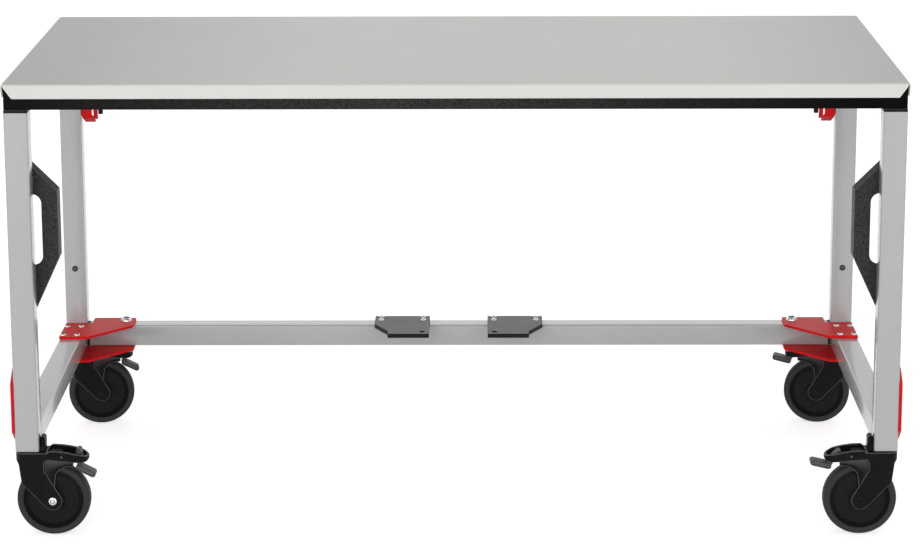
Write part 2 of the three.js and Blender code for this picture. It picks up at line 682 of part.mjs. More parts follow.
function headPlan(wall) {
  const [back, half] = [wall - FORK_HEAD_BACK, CHEEK_OUTER - wall];
  const [corner, end] = [FORK_HEAD_CORNER, ARM_END - CHEEK_OUTER];
  const plan = new THREE.Shape();
  plan.moveTo(end, -half);
  plan.absarc(end, 0, half, -Math.PI / 2, Math.PI / 2);
  plan.absarc(back + corner, half - corner, corner, Math.PI / 2, Math.PI);
  plan.absarc(back + corner, -half + corner, corner, Math.PI, 1.5 * Math.PI);
  plan.closePath();
  return plan;
}

function headSide() {
  const back = -FORK_HEAD_BACK;
  const [past, toe] = [ARM_END + PAST, HEAD_BOTTOM + ARM_TOE_RISE];
  const armRoot = HEAD_BOTTOM + ARM_FILLET;
  const [crest, crestStart] = [CASTER_CEILING - FIT, STEM_SWEEP + ARM_CREST_RUN];
  const side = new THREE.Shape();
  side.moveTo(back, HEAD_TOP);
  side.lineTo(back, HEAD_BOTTOM + HEAD_CHAMFER_RISE);
  side.lineTo(back + HEAD_CHAMFER_RUN, HEAD_BOTTOM);
  side.lineTo(CHEEK_EDGE, HEAD_BOTTOM);
  side.quadraticCurveTo(CHEEK_EDGE, armRoot, CHEEK_EDGE + ARM_FILLET, armRoot);
  side.lineTo(ARM_END - ARM_NOSE, toe);
  side.quadraticCurveTo(past, toe, past, HEAD_TOP - ARM_DROOP);
  side.quadraticCurveTo((crestStart + past) / 2, crest, crestStart, crest);
  side.lineTo(STEM_SWEEP, HEAD_TOP);
  side.closePath();
  return side;
}

// Direction, from a circle's centre, of the point where a line from outside touches it on one side
function touchAngle(outside, centre, radius, side) {
  const away = outside.clone().sub(centre);
  return away.angle() + side * Math.acos(radius / away.length());
}

function cheekOutline() {
  const tip = new THREE.Vector2(TRAIL, WHEEL_RADIUS);
  const heel = new THREE.Vector2(CHEEK_HEEL_INSET - FORK_HEAD_BACK, HEAD_BOTTOM - CHEEK_HEEL_DROP);
  const bend = new THREE.Vector2(CHEEK_EDGE, HEAD_BOTTOM - CHEEK_BEND_DROP);
  const lower = touchAngle(heel, tip, FORK_TIP_RADIUS, 1);
  const upper = touchAngle(bend, tip, FORK_TIP_RADIUS, -1) + 2 * Math.PI;
  const outline = new THREE.Shape();
  outline.moveTo(HEAD_CHAMFER_RUN - FORK_HEAD_BACK, HEAD_BOTTOM + PAST);
  outline.lineTo(heel.x, heel.y);
  outline.absarc(tip.x, tip.y, FORK_TIP_RADIUS, lower, upper);
  outline.lineTo(bend.x, bend.y);
  outline.lineTo(CHEEK_EDGE, HEAD_BOTTOM + PAST);
  outline.closePath();
  return outline;
}

function webOutline() {
  const [throat, edge] = [TRAIL + WEB_THROAT, HEAD_BOTTOM - WEB_DROP];
  const web = new THREE.Shape();
  web.moveTo(CHEEK_EDGE - PAST, HEAD_BOTTOM + ARM_FILLET);
  web.lineTo(TRAIL, WHEEL_RADIUS);
  web.lineTo(throat, WHEEL_RADIUS);
  web.lineTo(throat, HEAD_BOTTOM - WEB_THROAT_DROP);
  web.quadraticCurveTo(throat, edge, TRAIL + WEB_REACH, edge);
  web.lineTo(TRAIL + WEB_REACH, HEAD_BOTTOM + ARM_FILLET / 2);
  web.closePath();
  return web;
}

function casterFork() {
  const head = common(raise(headPlan(0), 0, 2 * HEAD_TOP), drawAlongY(headSide(), -TUBE, TUBE, 4));
  const loop = raise(headPlan(ARM_WALL), 0, 2 * HEAD_TOP);
  const recess = common(loop, block([STEM_SWEEP, -TUBE, 0], [ARM_END, TUBE, 2 * HEAD_TOP]));
  const sides = [
    drawAlongY(cheekOutline(), CHEEK_INNER, CHEEK_OUTER),
    drawAlongY(cheekOutline(), -CHEEK_OUTER, -CHEEK_INNER),
    drawAlongY(webOutline(), CHEEK_INNER, CHEEK_INNER + WEB, 4),
    drawAlongY(webOutline(), -CHEEK_INNER - WEB, -CHEEK_INNER, 4),
  ];
  const kingpinBore = uprightRod(KINGPIN_RADIUS + FIT, HEAD_BOTTOM + ARM_WALL - FIT, HEAD_TOP + PAST);
  const axleBore = crosswiseRod(AXLE_RADIUS + FIT, TUBE).translate(TRAIL, 0, WHEEL_RADIUS);
  return cut(joined(cut(head, recess), ...sides), kingpinBore, axleBore);
}

// Wheel: moulded hub with a dished disc, and a rubber tyre with rounded shoulders around it.
// Each half profile runs outwards along one side, and its mirror image closes the section.

function turned(half, segments) {
  const other = half.map(([radius, y]) => [radius, -y]).reverse();
  const points = [...half, ...other].map(([radius, y]) => new THREE.Vector2(radius, y));
  if (points[0].x > 0) points.push(points[0]);
  return new THREE.LatheGeometry(points, segments).translate(TRAIL, 0, WHEEL_RADIUS);
}

function wheelHub() {
  const [bore, boss] = [AXLE_RADIUS + FIT, CHEEK_INNER - FIT];
  const face = WHEEL_HALF_WIDTH - HUB_INSET;
  const rim = HUB_RADIUS - HUB_RIM;
  return turned([
    [bore, -boss],
    [HUB_BOSS_RADIUS, -boss],
    [HUB_BOSS_RADIUS + HUB_BOSS_FLARE, HUB_DISH - face],
    [rim - HUB_RIM_SLOPE, HUB_DISH - face],
    [rim, -face],
    [HUB_RADIUS, -face],
  ], WHEEL_ROUND);
}

function wheelTyre() {
  const half = [[HUB_RADIUS + FIT, TYRE_INSET - WHEEL_HALF_WIDTH]];
  for (let step = 0; step <= SHOULDER_ROUND; step += 1) {
    const angle = (step / SHOULDER_ROUND) * (Math.PI / 2);
    const radius = WHEEL_RADIUS - TYRE_SHOULDER * (1 - Math.sin(angle));
    half.push([radius, TYRE_SHOULDER * (1 - Math.cos(angle)) - WHEEL_HALF_WIDTH]);
  }
  return turned(half, WHEEL_ROUND);
}

function wheelAxle() {
  const shank = CHEEK_OUTER + FIT;
  const end = shank + AXLE_HEAD_HEIGHT;
  return turned([
    [0, -end],
    [AXLE_HEAD_RADIUS - AXLE_HEAD_CHAMFER, -end],
    [AXLE_HEAD_RADIUS, AXLE_HEAD_CHAMFER - end],
    [AXLE_HEAD_RADIUS, -shank],
    [AXLE_RADIUS, -shank],
  ], ROUND);
}

// Brake lever: a link hanging from the pin to the toe that is trodden on, and a pad on the link's upper end

function bar(start, end, thickness) {
  const heading = end.clone().sub(start).angle();
  const outline = new THREE.Shape();
  outline.absarc(start.x, start.y, thickness / 2, heading + Math.PI / 2, heading + 1.5 * Math.PI);
  outline.absarc(end.x, end.y, thickness / 2, heading - Math.PI / 2, heading + Math.PI / 2);
  outline.closePath();
  return drawAlongY(outline, -LEVER_WIDTH / 2, LEVER_WIDTH / 2, 3);
}

function brakeLever(braked) {
  const pivot = new THREE.Vector2(0, 0);
  const pad = new THREE.Vector2(-LEVER_PAD_LEAN, CASTER_CEILING - FIT - LEVER_PAD / 2 - PIVOT_Z);
  const root = new THREE.Vector2(-LEVER_HEEL, -LEVER_DROP);
  const tread = new THREE.Vector2(Math.cos(TOE_SLOPE), Math.sin(TOE_SLOPE));
  const toe = root.clone().addScaledVector(tread, TOE_LENGTH);
  const roundEnd = CHEEK_OUTER - ARM_WALL;
  const pastCentre = PIVOT_X + PIVOT_RADIUS - (ARM_END - CHEEK_OUTER);
  const pin = crosswiseRod(PIVOT_RADIUS, Math.sqrt(roundEnd ** 2 - pastCentre ** 2) - FIT, 8);
  const lever = joined(
    bar(pivot, pad, LEVER_PAD), bar(pivot, root, LEVER_LINK), bar(root, toe, TOE_THICKNESS), pin);
  if (!braked) lever.rotateY(-LEVER_TRAVEL);
  return lever.translate(PIVOT_X, 0, PIVOT_Z);
}

function addCasters() {
  const stem = casterStem();
  const fork = casterFork();
  const [hub, tyre, axle] = [wheelHub(), wheelTyre(), wheelAxle()];
  for (const { corner, turn, tabTurn, braked } of CASTERS) {
    const [x, y] = cornerPlace(corner);
    const placedStem = stem.clone().rotateZ(tabTurn).translate(x, y, 0);
    addPiece(table, `${corner}_caster_stem`, placedStem, MATERIALS.plastic);
    const caster = new THREE.Group();
    caster.position.set(x, y, 0);
    caster.rotation.z = turn;
    addPiece(caster, `${corner}_caster_fork`, fork.clone(), MATERIALS.plastic);
    addPiece(caster, `${corner}_wheel_hub`, hub.clone(), MATERIALS.wheel);
    addPiece(caster, `${corner}_wheel_tyre`, tyre.clone(), MATERIALS.tyre);
    addPiece(caster, `${corner}_wheel_axle`, axle.clone(), MATERIALS.steel);
    addPiece(caster, `${corner}_brake_lever`, brakeLever(braked), MATERIALS.plastic);
    table.add(caster);
  }
}

addCasters();

export default table;
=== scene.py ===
import json
from math import cos, hypot, pi, radians, sin

import bmesh
import bpy
import numpy as np
from mathutils import Matrix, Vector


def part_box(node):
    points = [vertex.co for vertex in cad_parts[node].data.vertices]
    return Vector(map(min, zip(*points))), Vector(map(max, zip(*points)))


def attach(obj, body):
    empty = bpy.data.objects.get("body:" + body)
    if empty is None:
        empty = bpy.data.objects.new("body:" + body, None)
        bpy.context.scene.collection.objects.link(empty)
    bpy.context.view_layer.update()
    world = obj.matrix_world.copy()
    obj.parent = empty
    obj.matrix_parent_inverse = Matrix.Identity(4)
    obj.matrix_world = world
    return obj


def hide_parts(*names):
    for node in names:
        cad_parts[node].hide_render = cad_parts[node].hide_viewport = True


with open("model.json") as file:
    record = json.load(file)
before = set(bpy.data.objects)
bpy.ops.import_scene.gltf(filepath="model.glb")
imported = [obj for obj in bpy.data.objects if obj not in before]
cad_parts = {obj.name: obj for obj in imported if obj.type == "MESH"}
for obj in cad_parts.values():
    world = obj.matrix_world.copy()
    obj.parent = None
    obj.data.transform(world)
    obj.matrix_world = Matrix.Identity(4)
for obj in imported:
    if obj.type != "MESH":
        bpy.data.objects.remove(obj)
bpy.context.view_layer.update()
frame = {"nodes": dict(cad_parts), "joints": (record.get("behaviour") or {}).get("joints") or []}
scene = bpy.context.scene


# Worktop: one steel sheet with its edges folded down, sprayed in a warm light grey.
# The paint has a fine orange-peel skin, and its upper side carries painted shade that greys it a little
# towards both ends of the table.

BROAD_NOISE = {"per_metre": 7.0, "detail": 4.0}
MIDDLING_NOISE = {"per_metre": 26.0, "detail": 5.0}
FINE_NOISE = {"per_metre": 480.0, "detail": 3.0}
GRAIN_DETAIL = 2.0
NOISE_MIDDLE = 0.5
DARKEST_SHADE = 0.1
COAT_ROUGHNESS = 0.08
BUMP_STRENGTH = 0.5
POINT_WELD = 0.000004
FLAT_SEAM = radians(1.0)
SHARP_SIDES = radians(35.0)
LOOKS_UP = 0.9
FLATNESS_WEIGHT = 80
SHEET_EDGE = 0.0011
SHEET_WELD = 0.0003
PAINTED_SHADE_CENTRE = 0.10
PAINTED_SHADE_START = 0.33
PAINTED_SHADE_STOP = 0.76


def math_node(tree, operation, *values):
    """One Math node on sockets or plain numbers, and its result."""
    node = tree.nodes.new("ShaderNodeMath")
    node.operation = operation
    for place, value in zip(node.inputs, values):
        if isinstance(value, (int, float)):
            place.default_value = value
        else:
            tree.links.new(value, place)
    return node.outputs[0]


def noise_node(tree, per_metre, detail):
    """Noise on Object coordinates, with its features per metre as a number or a socket."""
    place = tree.nodes.new("ShaderNodeTexCoord")
    noise = tree.nodes.new("ShaderNodeTexNoise")
    noise.inputs["Detail"].default_value = detail
    tree.links.new(place.outputs["Object"], noise.inputs["Vector"])
    if isinstance(per_metre, float):
        noise.inputs["Scale"].default_value = per_metre
    else:
        tree.links.new(per_metre, noise.inputs["Scale"])
    return noise.outputs["Fac"]


def build_coat_skin():
    """Sprayed coat: colour mottled by broad noise and speckled by fine noise, roughness by middling noise,
    and a fine grain as height."""
    tree = bpy.data.node_groups.new("coat_skin", "ShaderNodeTree")
    tree.interface.new_socket("Colour", in_out="INPUT", socket_type="NodeSocketColor")
    for label in ("Mottle", "Speckle", "Roughness", "Roughness spread", "Grain per metre"):
        tree.interface.new_socket(label, in_out="INPUT", socket_type="NodeSocketFloat")
    tree.interface.new_socket("Colour", in_out="OUTPUT", socket_type="NodeSocketColor")
    for label in ("Roughness", "Height"):
        tree.interface.new_socket(label, in_out="OUTPUT", socket_type="NodeSocketFloat")
    given = tree.nodes.new("NodeGroupInput")
    result = tree.nodes.new("NodeGroupOutput")
    broad = math_node(tree, "SUBTRACT", noise_node(tree, **BROAD_NOISE), NOISE_MIDDLE)
    fine = math_node(tree, "SUBTRACT", noise_node(tree, **FINE_NOISE), NOISE_MIDDLE)
    clouded = math_node(tree, "MULTIPLY_ADD", broad, given.outputs["Mottle"], 1.0)
    speckled = math_node(tree, "MULTIPLY_ADD", fine, given.outputs["Speckle"], clouded)
    shade = math_node(tree, "MAXIMUM", speckled, DARKEST_SHADE)
    tint = tree.nodes.new("ShaderNodeVectorMath")
    tint.operation = "SCALE"
    tree.links.new(given.outputs["Colour"], tint.inputs[0])
    tree.links.new(shade, tint.inputs["Scale"])
    middling = math_node(tree, "SUBTRACT", noise_node(tree, **MIDDLING_NOISE), NOISE_MIDDLE)
    spread = math_node(tree, "MULTIPLY", middling, given.outputs["Roughness spread"])
    rough = math_node(tree, "ADD", spread, given.outputs["Roughness"])
    tree.links.new(tint.outputs["Vector"], result.inputs["Colour"])
    tree.links.new(rough, result.inputs["Roughness"])
    grain = noise_node(tree, given.outputs["Grain per metre"], GRAIN_DETAIL)
    tree.links.new(grain, result.inputs["Height"])
    return tree


coat_skin = build_coat_skin()


def finish(name, colour, roughness, mottle=0.06, speckle=0.15, spread=0.1, grain=900.0, relief=0.00004,
           metal=0.0, coat=0.0, specular=0.5):
    """A material whose colour, roughness and bump come from coat_skin, the rest set on the shader itself."""
    material = bpy.data.materials.new(name)
    material.use_nodes = True
    tree = material.node_tree
    shader = tree.nodes["Principled BSDF"]
    shader.inputs["Metallic"].default_value = metal
    shader.inputs["Coat Weight"].default_value = coat
    shader.inputs["Coat Roughness"].default_value = COAT_ROUGHNESS
    shader.inputs["Specular IOR Level"].default_value = specular
    skin = tree.nodes.new("ShaderNodeGroup")
    skin.node_tree = coat_skin
    skin.inputs["Colour"].default_value = (*colour, 1.0)
    skin.inputs["Mottle"].default_value = mottle
    skin.inputs["Speckle"].default_value = speckle
    skin.inputs["Roughness"].default_value = roughness
    skin.inputs["Roughness spread"].default_value = spread
    skin.inputs["Grain per metre"].default_value = grain
    bump = tree.nodes.new("ShaderNodeBump")
    bump.inputs["Strength"].default_value = BUMP_STRENGTH
    bump.inputs["Distance"].default_value = relief
    tree.links.new(skin.outputs["Colour"], shader.inputs["Base Color"])
    tree.links.new(skin.outputs["Roughness"], shader.inputs["Roughness"])
    tree.links.new(skin.outputs["Height"], bump.inputs["Height"])
    tree.links.new(bump.outputs["Normal"], shader.inputs["Normal"])
    return material


def blend_over(material, factor, colour):
    """A second colour over a material's own, by a factor that comes from a socket of its tree."""
    tree = material.node_tree
    base = tree.nodes["Principled BSDF"].inputs["Base Color"]
    blend = tree.nodes.new("ShaderNodeMix")
    blend.data_type = "RGBA"
    blend.inputs["B"].default_value = (*colour, 1.0)
    tree.links.new(factor, blend.inputs["Factor"])
    tree.links.new(base.links[0].from_socket, blend.inputs["A"])
    tree.links.new(blend.outputs["Result"], base)


def fade_along(material, centre, start, stop, colour):
    """A second colour that takes over along the table, between two distances from a centre to either side."""
    tree = material.node_tree
    place = tree.nodes.new("ShaderNodeTexCoord")
    parts = tree.nodes.new("ShaderNodeSeparateXYZ")
    tree.links.new(place.outputs["Object"], parts.inputs["Vector"])
    away = math_node(tree, "ABSOLUTE", math_node(tree, "SUBTRACT", parts.outputs["X"], centre))
    run = math_node(tree, "DIVIDE", math_node(tree, "SUBTRACT", away, start), stop - start)
    share = tree.nodes.new("ShaderNodeClamp")
    tree.links.new(run, share.inputs["Value"])
    blend_over(material, share.outputs["Result"], colour)


def softened(node, body, material, radius, segments=2, rim=None, upper=None, weld=POINT_WELD,
             spare=None):
    """A copy of a CAD solid, welded and freed of flat seams, whose sharp edges are rounded over, apart from
    those whose middle point spare keeps out. The edges have a finish of their own where rim is given, and so
    have faces that look up where upper is. Normals weighted by face area keep the flat faces flat."""
    mesh = frame["nodes"][node].data.copy()
    mesh.materials.clear()
    for layer in filter(None, (material, rim, upper)):
        mesh.materials.append(layer)
    upper_index = len(mesh.materials) - 1
    solid = bmesh.new()
    solid.from_mesh(mesh)
    bmesh.ops.remove_doubles(solid, verts=solid.verts, dist=POINT_WELD)
    bmesh.ops.dissolve_limit(solid, angle_limit=FLAT_SEAM, verts=solid.verts, edges=solid.edges)
    bmesh.ops.remove_doubles(solid, verts=solid.verts, dist=weld)
    for face in solid.faces:
        face.smooth = True
        face.material_index = upper_index if upper and face.normal.z > LOOKS_UP else 0
    weight = solid.edges.layers.float.new("bevel_weight_edge")
    for edge in solid.edges:
        middle = (edge.verts[0].co + edge.verts[1].co) / 2
        kept_out = not edge.is_manifold or (spare is not None and spare(middle))
        edge[weight] = 0.0 if kept_out or edge.calc_face_angle() < SHARP_SIDES else 1.0
    solid.to_mesh(mesh)
    solid.free()
    piece = bpy.data.objects.new(f"{node}_finished", mesh)
    scene.collection.objects.link(piece)
    rounding = piece.modifiers.new("rounded_edges", "BEVEL")
    rounding.width = radius
    rounding.segments = segments
    rounding.limit_method = "WEIGHT"
    rounding.material = 1 if rim else -1
    rounding.use_clamp_overlap = spare is None
    evening = piece.modifiers.new("even_faces", "WEIGHTED_NORMAL")
    evening.mode = "FACE_AREA"
    evening.weight = FLATNESS_WEIGHT
    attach(piece, body)
    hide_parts(node)


sheet_skin = {"roughness": 0.42, "mottle": 0.05, "grain": 700.0, "relief": 0.00003, "specular": 0.2}
worktop_paint = finish("worktop_paint", (0.77, 0.766, 0.74), **sheet_skin)
top_paint_painted_shade = finish("top_paint_painted_shade", (0.775, 0.766, 0.74), **sheet_skin)
# painted light and shade: the upper side is lightest near the middle and darkens towards both ends, as a
# reflection of the backdrop falls off
fade_along(top_paint_painted_shade, PAINTED_SHADE_CENTRE, PAINTED_SHADE_START, PAINTED_SHADE_STOP, (0.59, 0.588, 0.575))
softened("worktop", "table", worktop_paint, SHEET_EDGE, upper=top_paint_painted_shade, weld=SHEET_WELD)


# Frame: black powder-coated tube under the sheet, two long rails with short rails between them.
# The coat is coarse and matt, with a painted sheen that leaves it palest near the middle of the table. Each
# tube is drawn from its section, with the bore open at both ends.

TUBE_WALL = 0.0025
TUBE_CORNER = 0.003
CORNER_STEPS = 6
JOINED_POINTS = 0.000001
SHEEN_CENTRE = -0.07
SHEEN_START = 0.10
SHEEN_STOP = 0.72

powder_skin = {"roughness": 0.5, "mottle": 0.3, "speckle": 3.6, "grain": 1400.0, "relief": 0.00012}
frame_coat = finish("frame_powder_coat", (0.034, 0.034, 0.033), specular=0.04, **powder_skin)
# painted sheen: the colour fades to near black towards both ends of the table, so that only the middle looks
# lit
fade_along(frame_coat, SHEEN_CENTRE, SHEEN_START, SHEEN_STOP, (0.0012, 0.0012, 0.0012))


def grid_faces(rows, columns, close_rows=False):
    """Quads between the points of a grid kept row by row. Each row is a ring, and the rows may be one."""
    down = np.arange(rows if close_rows else rows - 1)
    row, column = np.meshgrid(down, np.arange(columns), indexing="ij")
    here, below = row * columns, (row + 1) % rows * columns
    beside = (column + 1) % columns
    return np.stack([here + column, here + beside, below + beside, below + column], -1).reshape(-1, 4)


def new_piece(name, points, faces, material, body, slot, *stands_for, sharp=35.0):
    """A mesh piece from arrays, smooth up to the sharp angle, riding on a body in place of CAD nodes."""
    mesh = bpy.data.meshes.new(name)
    mesh.from_pydata(points.reshape(-1, 3).tolist(), [], [list(face) for face in faces])
    solid = bmesh.new()
    solid.from_mesh(mesh)
    bmesh.ops.remove_doubles(solid, verts=solid.verts, dist=JOINED_POINTS)
    bmesh.ops.recalc_face_normals(solid, faces=solid.faces)
    solid.to_mesh(mesh)
    solid.free()
    mesh.polygons.foreach_set("use_smooth", np.ones(len(mesh.polygons), dtype=bool))
    mesh.set_sharp_from_angle(angle=radians(sharp))
    mesh.materials.append(material)
    piece = bpy.data.objects.new(name, mesh)
    scene.collection.objects.link(piece)
    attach(piece, body)
    if stands_for:
        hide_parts(*stands_for)
    return piece


def rounded_loop(width, height, radius):
    """Closed outline of a rectangle with quarter-circle corners: corner centre plus radius times the unit
    circle."""
    turn = np.linspace(0.0, pi / 2, CORNER_STEPS + 1)
    corners = [(1, 1, 0.0), (-1, 1, pi / 2), (-1, -1, pi), (1, -1, 1.5 * pi)]
    arcs = [np.stack([sx * (width / 2 - radius) + radius * np.cos(turn + start),
                      sy * (height / 2 - radius) + radius * np.sin(turn + start)], -1)
            for sx, sy, start in corners]
    return np.concatenate(arcs)


def square_tube(node, axis, material, slot):
    """Tube in a node's box along one axis: the outer loop at both ends, then the bore's loop back again."""
    low, high = (np.array(corner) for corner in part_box(node))
    others = [(axis + 1) % 3, (axis + 2) % 3]
    size = (high - low)[others]
    outer = rounded_loop(*size, TUBE_CORNER)
    inner = rounded_loop(*(size - 2 * TUBE_WALL), TUBE_CORNER - TUBE_WALL)
    middle = (low + high)[others] / 2
    points = np.empty((4, len(outer), 3))
    for row, (loop, end) in enumerate(((outer, low), (outer, high), (inner, high), (inner, low))):
        points[row][:, others] = loop + middle
        points[row][:, axis] = end[axis]
    faces = grid_faces(4, len(outer), close_rows=True)
    new_piece(f"{node}_tube", points, faces, material, "table", slot, node)


for rail in ("front_rail", "rear_rail"):
    square_tube(f"frame_{rail}", 0, frame_coat, "black_paint")
for rail in ("left_rail", "right_rail", "cross_rail_left", "cross_rail_right"):
    square_tube(f"frame_{rail}", 1, frame_coat, "black_paint")


# Legs and lower rails: square steel tube in a glossy silver-grey paint, rounded along its corners.
# The paint is smooth enough to mirror what stands close to it at low angles.

CORNERS = ("front_left", "front_right", "rear_left", "rear_right")
SIDES = ("left", "right")

silver_paint = finish("silver_paint", (0.445, 0.45, 0.451), 0.24, speckle=0.22, spread=0.06, grain=420.0,
                      relief=0.00002, metal=0.1, coat=0.5)
for corner in CORNERS:
    square_tube(f"{corner}_leg", 2, silver_paint, "silver_paint")
for side in SIDES:
    square_tube(f"side_rail_{side}", 1, silver_paint, "silver_paint")
square_tube("crossbar", 0, silver_paint, "silver_paint")


# Leg caps and crossbar plugs: moulded black plastic, pushed into the open tube ends.
# Only a thin rim of each shows between the tube and its neighbour.

CAP_EDGE = 0.0005

cap_plastic = finish("cap_plastic", (0.010, 0.010, 0.0095), 0.45, mottle=0.2, speckle=2.0, grain=1100.0,
                     relief=0.00003, specular=0.1)
# painted highlight: the caps' rounded edges are paler and glossier than the caps themselves
cap_edge_plastic = finish("cap_edge_plastic", (0.05, 0.05, 0.049), 0.35, mottle=0.4, speckle=1.5,
                          grain=1100.0, relief=0.00003, specular=0.4)
for corner in CORNERS:
    softened(f"{corner}_leg_cap", "table", cap_plastic, CAP_EDGE, rim=cap_edge_plastic)
for side in SIDES:
    softened(f"crossbar_plug_{side}", "table", cap_plastic, CAP_EDGE)


# Gussets and side plates: laser-cut steel plate with a red powder coat, rounded a little along its edges.
# The gussets are clamped above and below the rear corners, the side plates lie on the front legs.

PLATE_EDGE = 0.0007

red_coat = finish("red_powder_coat", (0.74, 0.006, 0.009), 0.42, mottle=0.1, speckle=0.5, grain=1000.0,
                  relief=0.00006, specular=0.11)
for side in SIDES:
    for plate in ("upper_gusset", "lower_gusset", "side_plate"):
        softened(f"{plate}_{side}", "table", red_coat, PLATE_EDGE)


# Grips: black-coated pressed steel trays behind the front legs, with a slot for the hand.
# The tray's rim is turned back all round, which stiffens it, and its edges carry a painted highlight, a paler
# strip along their rounding.

black_coat = finish("black_powder_coat", (0.034, 0.034, 0.033), specular=0.1, **powder_skin)
# painted highlight: a paler, glossier strip on the rounded edges, standing in for light caught along them
painted_edge_highlight = finish("painted_edge_highlight", (0.10, 0.10, 0.098), 0.4, mottle=0.4, speckle=1.5, grain=1400.0,
                     specular=0.4)
for side in SIDES:
    softened(f"grip_{side}", "table", black_coat, PLATE_EDGE, rim=painted_edge_highlight)


# Bracket plates: thick plates bolted flat on the crossbar, black-coated.
# The upper faces are painted a lighter grey than the sides, a painted sheen from the light above.

bracket_coat = finish("bracket_coat", (0.008, 0.008, 0.0078), 0.45, mottle=0.4, speckle=2.4, grain=1400.0,
                      relief=0.00012, specular=0.12)
# painted sheen: a lit copy of the black coat for the faces that look up
bracket_top_painted_sheen = finish("bracket_top_painted_sheen", (0.11, 0.109, 0.106), 0.45, mottle=0.4, speckle=1.6,
                          grain=1400.0, relief=0.00012, specular=0.25)
for side in SIDES:
    softened(f"bracket_plate_{side}", "table", bracket_coat, PLATE_EDGE, rim=bracket_coat,
             upper=bracket_top_painted_sheen)


# Leg hooks and studs: red-coated plate welded to the rear legs, with a tongue and a finger that are bent back
# at their lower ends. A black stud stands beside them.

HOOK_THICKNESS = 0.005
HOOK_PLATE_HEIGHT = 0.052
HOOK_BEND_RADIUS = 0.006
HOOK_BEND = radians(57.0)
HOOK_BEND_LEVEL = 0.603
HOOK_BEND_STEPS = 6
TONGUE_WIDTH = 0.0195
TONGUE_FLAP = 0.020
TONGUE_SHIFT = 0.005
FINGER_SPAN = (0.0225, 0.0305)
FINGER_FLAP = 0.006


def bent_course(flap):
    """Points (setback, level) down a plate that turns back at its end: an arc of radius r through
    r (1 - cos a) back and r sin a down, then straight on by the flap's length."""
    angle = np.linspace(0.0, HOOK_BEND, HOOK_BEND_STEPS)
    arc = HOOK_BEND_RADIUS * np.stack([1 - np.cos(angle), -np.sin(angle)], -1) + (0.0, HOOK_BEND_LEVEL)
    end = arc[-1] + flap * np.array((sin(HOOK_BEND), -cos(HOOK_BEND)))
    return np.concatenate([arc, [end]])


def plate_strip(near, far, course, shift=0.0):
    """Rows of a flat strip carried down a course, each with four corners: near and far along the table, moved
    by a share of shift that grows below the bend, and half the thickness to each side of the course's
    normal."""
    run = np.gradient(course, axis=0)
    run /= np.linalg.norm(run, axis=1)[:, None]
    normal = np.stack([run[:, 1], -run[:, 0]], -1) * HOOK_THICKNESS / 2
    fall = np.clip(course[0, 1] - course[:, 1], course[0, 1] - HOOK_BEND_LEVEL, None)
    moved = shift * (fall - fall[0]) / max(fall[-1] - fall[0], HOOK_THICKNESS)
    corners = [np.column_stack([edge + moved, course + side * normal])
               for edge, side in ((near, 1), (far, 1), (far, -1), (near, -1))]
    return np.stack(corners, 1)


def outer_faces(points, faces):
    """The faces left when those that two neighbouring strips share are taken out, so that they form one
    shell."""
    corners = np.unique(points.reshape(-1, 3).round(6), axis=0, return_inverse=True)[1].ravel()
    keys = [frozenset(corners[list(face)].tolist()) for face in faces]
    return [face for face, key in zip(faces, keys) if keys.count(key) == 1]


for side, sign in zip(SIDES, (1, -1)):
    low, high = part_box(f"leg_hook_{side}")
    plate = np.array(((0.0, high.z), (0.0, high.z - HOOK_PLATE_HEIGHT)))
    tongue, finger = (np.concatenate([plate, bent_course(flap)]) for flap in (TONGUE_FLAP, FINGER_FLAP))
    strips = [plate_strip(0.0, TONGUE_WIDTH, tongue, TONGUE_SHIFT),
              plate_strip(TONGUE_WIDTH, FINGER_SPAN[0], plate),
              plate_strip(*FINGER_SPAN, finger),
              plate_strip(FINGER_SPAN[1], high.x - low.x, plate)]
    leg_face = low.x if sign > 0 else high.x
    points = np.concatenate(strips) * (sign, 1, 1) + (leg_face, low.y + HOOK_THICKNESS / 2, 0.0)
    faces, first = [], 0
    for strip in strips:
        last = first + 4 * (len(strip) - 1)
        faces += [*(grid_faces(len(strip), 4) + first), range(first, first + 4), range(last, last + 4)]
        first = last + 4
    hook = new_piece(f"leg_hook_{side}_plate", points, outer_faces(points, faces), red_coat, "table",
                     "red_paint", f"leg_hook_{side}", sharp=30.0)
    rounding = hook.modifiers.new("rounded_edges", "BEVEL")
    rounding.width = PLATE_EDGE
    rounding.segments = 2
    softened(f"hook_stud_{side}", "table", cap_plastic, CAP_EDGE)


# Screws: bright plated button heads with a hexagon socket, sunk into the plates and tubes they hold.
# The clamp bolts through the crossbar are the same form, larger. The heads on the bracket plates are plain
# domes, and the screws in the legs are dull.

UP = np.array((0.0, 0.0, 1.0))
HEAD_STEPS = 48
DOME_STEPS = 7
DOME_SHARE = 0.75
CROWN_RIM = 1.25
SOCKET_SHARE = 0.48
SOCKET_DEPTH = 0.55
SOCKET_TAPER = 0.97
SHANK_CHAMFER = 0.1
NEARLY_ALONG = 0.9
PLATE_SINK = 0.0003
GUSSET_SCREW = {"radius": 0.0055, "height": 0.003}
GUSSET_SCREW_PLACES = ((0.034, 0.027), (0.008, 0.027), (0.034, 0.092), (0.008, 0.092))
CLAMP_BOLT = {"radius": 0.0105, "height": 0.0065, "shank_radius": 0.006}
LEG_SCREW = {"radius": 0.0058, "height": 0.004}
LEG_SCREW_LEVEL = 0.308
BRACKET_SCREW = {"radius": 0.0054, "height": 0.0032, "plain": True}
BRACKET_SCREW_INSETS = (0.012, 0.092)
BRACKET_SCREW_BACKSETS = (0.0065, 0.031)

plated_steel = finish("plated_steel", (0.72, 0.72, 0.73), 0.2, mottle=0.05, spread=0.12, grain=600.0,
                      relief=0.00001, metal=1.0)
rivet_steel = finish("rivet_steel", (0.11, 0.11, 0.11), 0.4, mottle=0.1, grain=600.0, relief=0.00001,
                     metal=1.0)


